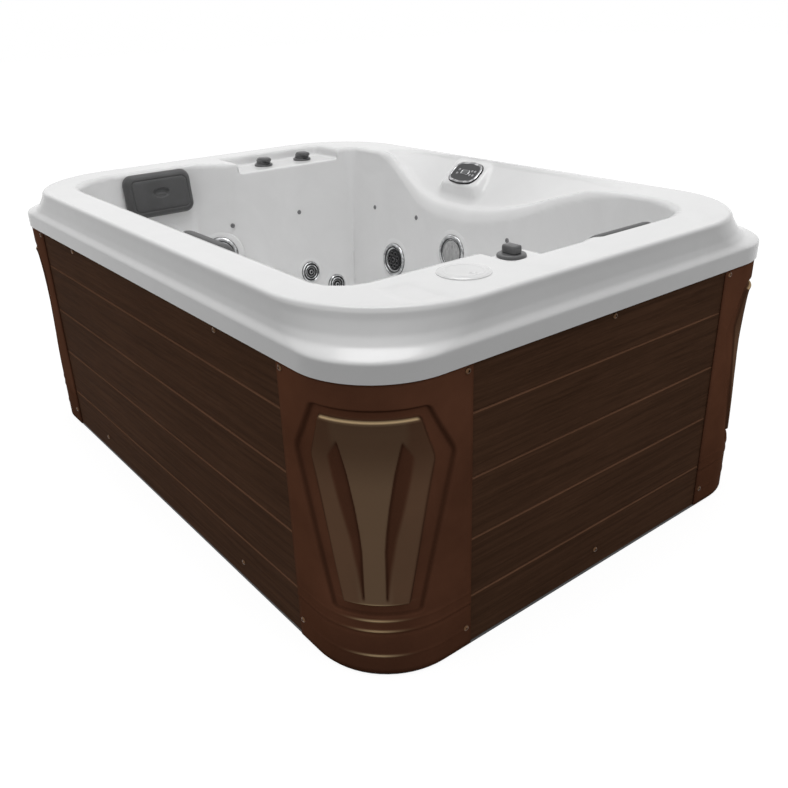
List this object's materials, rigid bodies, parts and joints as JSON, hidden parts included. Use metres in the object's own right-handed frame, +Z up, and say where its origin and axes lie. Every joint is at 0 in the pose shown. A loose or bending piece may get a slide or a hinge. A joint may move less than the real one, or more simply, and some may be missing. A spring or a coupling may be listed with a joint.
{
  "type": "hot tub",
  "caption": "Rectangular acrylic hot tub with seats, a lounger, jets, head pillows, control knobs and a panelled skirt with moulded corners.",
  "frame": {"origin": "middle of the flat underside", "axes": "+Z up, +X along the long side towards the filter deck's end, +Y towards the lounger's side"},
  "size_m": [2.101, 1.501, 0.8714],
  "materials": {
    "acrylic": "gloss white acrylic, lightly marbled",
    "acrylic_trim": "gloss white moulded plastic",
    "skirt_board": "matt dark brown wood-grain profile",
    "corner_moulding": "semi-gloss bronze brown moulding",
    "bronze_screw": "bronze tinted screw",
    "pillow_foam": "matt charcoal skin over foam",
    "satin_trim": "satin dark grey",
    "panel_face": "dark grey membrane",
    "display_glass": "black window",
    "button_plastic": "grey button",
    "control_grey": "matt dark grey",
    "chrome_trim": "polished",
    "jet_black": "black",
    "lens_plastic": "frosted clear lens",
    "fitting_grey": "grey fitting",
    "filter_fabric": "pleated polyester",
    "hidden_plastic": "black moulding",
    "pvc_white": "white PVC",
    "clear_hose": "clear hose",
    "base_plastic": "black moulded base",
    "rubber_black": "black grommet",
    "foam": "rigid foam block",
    "timber": "sawn softwood",
    "circuit_board": "green board",
    "motor_paint": "painted motor",
    "rotor_plastic": "moulded impeller",
    "heater_steel": "brushed tube",
    "box_paint": "grey enclosure"
  },
  "bodies": {
    "tub": {"tub_shell": "acrylic", "base_plate": "base_plastic", "cable_gland": "rubber_black", "footwell_block": "foam", "bottom_rails": "timber", "top_rails": "timber", "rim_boards": "timber", "frame_posts": "timber", "boards_long": "skirt_board", "boards_end": "skirt_board", "corner_panels": "corner_moulding", "skirt_screws": "bronze_screw", "pillow_pegs": "hidden_plastic", "display_bezel": "satin_trim", "display_face": "panel_face", "display_window": "display_glass", "display_housing": "hidden_plastic", "display_circuit": "circuit_board", "control_flanges": "control_grey", "control_valves": "pvc_white", "jet_bodies": "pvc_white", "jet_nuts": "pvc_white", "jet_rings": "chrome_trim", "light_lens": "lens_plastic", "light_housing": "hidden_plastic", "suction_covers": "fitting_grey", "suction_bodies": "pvc_white", "air_injectors": "fitting_grey", "floor_drain": "fitting_grey", "filter_housing": "pvc_white", "intake_grille": "fitting_grey", "pump_volute": "hidden_plastic", "pump_motor": "motor_paint", "heater": "heater_steel", "control_box": "box_paint", "water_pipes": "pvc_white", "air_pipes": "clear_hose"},
    "jet_face_1": {"jet_face_1": "jet_black"},
    "jet_face_2": {"jet_face_2": "jet_black"},
    "jet_face_3": {"jet_face_3": "jet_black"},
    "jet_face_4": {"jet_face_4": "jet_black"},
    "jet_eye_1": {"jet_eye_1": "jet_black"},
    "jet_eye_2": {"jet_eye_2": "jet_black"},
    "jet_eye_3": {"jet_eye_3": "jet_black"},
    "jet_eye_4": {"jet_eye_4": "jet_black"},
    "diverter_1": {"diverter_knob_1": "control_grey"},
    "diverter_2": {"diverter_knob_2": "control_grey"},
    "air_control": {"air_knob": "control_grey"},
    "button_1": {"display_button_1": "button_plastic"},
    "button_2": {"display_button_2": "button_plastic"},
    "button_3": {"display_button_3": "button_plastic"},
    "button_4": {"display_button_4": "button_plastic"},
    "button_5": {"display_button_5": "button_plastic"},
    "button_6": {"display_button_6": "button_plastic"},
    "pump_rotor_body": {"pump_rotor": "rotor_plastic"},
    "filter_lid_body": {"filter_lid": "acrylic_trim"},
    "filter_cartridge_body": {"filter_cartridge": "filter_fabric"},
    "pillow_corner_body": {"pillow_corner": "pillow_foam"},
    "pillow_middle_body": {"pillow_middle": "pillow_foam"},
    "pillow_lounger_body": {"pillow_lounger": "pillow_foam"}
  },
  "joints": [
    {"name": "jet_face_1_spin", "type": "hinge", "parent": "tub", "child": "jet_face_1", "pos_m": [-0.436, 0.51123, 0.451], "axis": [0, -0.993, 0.1184], "continuous": true},
    {"name": "jet_face_2_spin", "type": "hinge", "parent": "tub", "child": "jet_face_2", "pos_m": [-0.79068, -0.07744, 0.519], "axis": [0.7539, -0.6462, 0.1184], "continuous": true},
    {"name": "jet_face_3_spin", "type": "hinge", "parent": "tub", "child": "jet_face_3", "pos_m": [-0.85102, -0.262, 0.575], "axis": [0.993, 0, 0.1184], "continuous": true},
    {"name": "jet_face_4_spin", "type": "hinge", "parent": "tub", "child": "jet_face_4", "pos_m": [0.17, -0.57302, 0.575], "axis": [0, 0.993, 0.1184], "continuous": true},
    {"name": "jet_eye_1_turn", "type": "hinge", "parent": "tub", "child": "jet_eye_1", "pos_m": [-0.70896, 0.276, 0.39], "axis": [0.993, 0, 0.1184], "range_deg": [-90, 90]},
    {"name": "jet_eye_2_turn", "type": "hinge", "parent": "tub", "child": "jet_eye_2", "pos_m": [-0.69966, 0.397, 0.312], "axis": [0.993, 0, 0.1184], "range_deg": [-90, 90]},
    {"name": "jet_eye_3_turn", "type": "hinge", "parent": "tub", "child": "jet_eye_3", "pos_m": [0.67, 0.19, 0.525], "axis": [-0.5496, 0, 0.8354], "range_deg": [-90, 90]},
    {"name": "jet_eye_4_turn", "type": "hinge", "parent": "tub", "child": "jet_eye_4", "pos_m": [0.67, 0.33, 0.525], "axis": [-0.5496, 0, 0.8354], "range_deg": [-90, 90]},
    {"name": "diverter_1_turn", "type": "hinge", "parent": "tub", "child": "diverter_1", "pos_m": [-0.85, 0.181, 0.822], "axis": [0, 0, 1], "range_deg": [-90, 90]},
    {"name": "diverter_2_turn", "type": "hinge", "parent": "tub", "child": "diverter_2", "pos_m": [-0.85, 0.364, 0.822], "axis": [0, 0, 1], "range_deg": [-90, 90]},
    {"name": "air_control_turn", "type": "hinge", "parent": "tub", "child": "air_control", "pos_m": [0.822, -0.122, 0.842], "axis": [0, 0, 1], "range_deg": [-90, 90]},
    {"name": "button_1_press", "type": "slide", "parent": "tub", "child": "button_1", "axis": [0, 0.6157, -0.788], "range_m": [0, 0.0008], "stiffness_N_per_m": 1500},
    {"name": "button_2_press", "type": "slide", "parent": "tub", "child": "button_2", "axis": [0, 0.6157, -0.788], "range_m": [0, 0.0008], "stiffness_N_per_m": 1500},
    {"name": "button_3_press", "type": "slide", "parent": "tub", "child": "button_3", "axis": [0, 0.6157, -0.788], "range_m": [0, 0.0008], "stiffness_N_per_m": 1500},
    {"name": "button_4_press", "type": "slide", "parent": "tub", "child": "button_4", "axis": [0, 0.6157, -0.788], "range_m": [0, 0.0008], "stiffness_N_per_m": 1500},
    {"name": "button_5_press", "type": "slide", "parent": "tub", "child": "button_5", "axis": [0, 0.6157, -0.788], "range_m": [0, 0.0008], "stiffness_N_per_m": 1500},
    {"name": "button_6_press", "type": "slide", "parent": "tub", "child": "button_6", "axis": [0, 0.6157, -0.788], "range_m": [0, 0.0008], "stiffness_N_per_m": 1500},
    {"name": "pump_spin", "type": "hinge", "parent": "tub", "child": "pump_rotor_body", "pos_m": [0.59, -0.45, 0.215], "axis": [1, 0, 0], "continuous": true},
    {"name": "filter_lid_lift", "type": "slide", "parent": "tub", "child": "filter_lid_body", "axis": [0, 0, 1], "range_m": [0, 0.35]},
    {"name": "cartridge_lift", "type": "slide", "parent": "tub", "child": "filter_cartridge_body", "axis": [0, 0, 1], "range_m": [0, 0.35]},
    {"name": "pillow_corner_pull", "type": "slide", "parent": "tub", "child": "pillow_corner_body", "axis": [0.993, 0, 0.1184], "range_m": [0, 0.05]},
    {"name": "pillow_middle_pull", "type": "slide", "parent": "tub", "child": "pillow_middle_body", "axis": [0, 0.993, 0.1184], "range_m": [0, 0.05]},
    {"name": "pillow_lounger_pull", "type": "slide", "parent": "tub", "child": "pillow_lounger_body", "axis": [-0.993, 0, 0.1184], "range_m": [0, 0.05]}
  ],
  "couplings": [
    {"joint": "cartridge_lift", "follows": "filter_lid_lift", "ratio": 1}
  ]
}
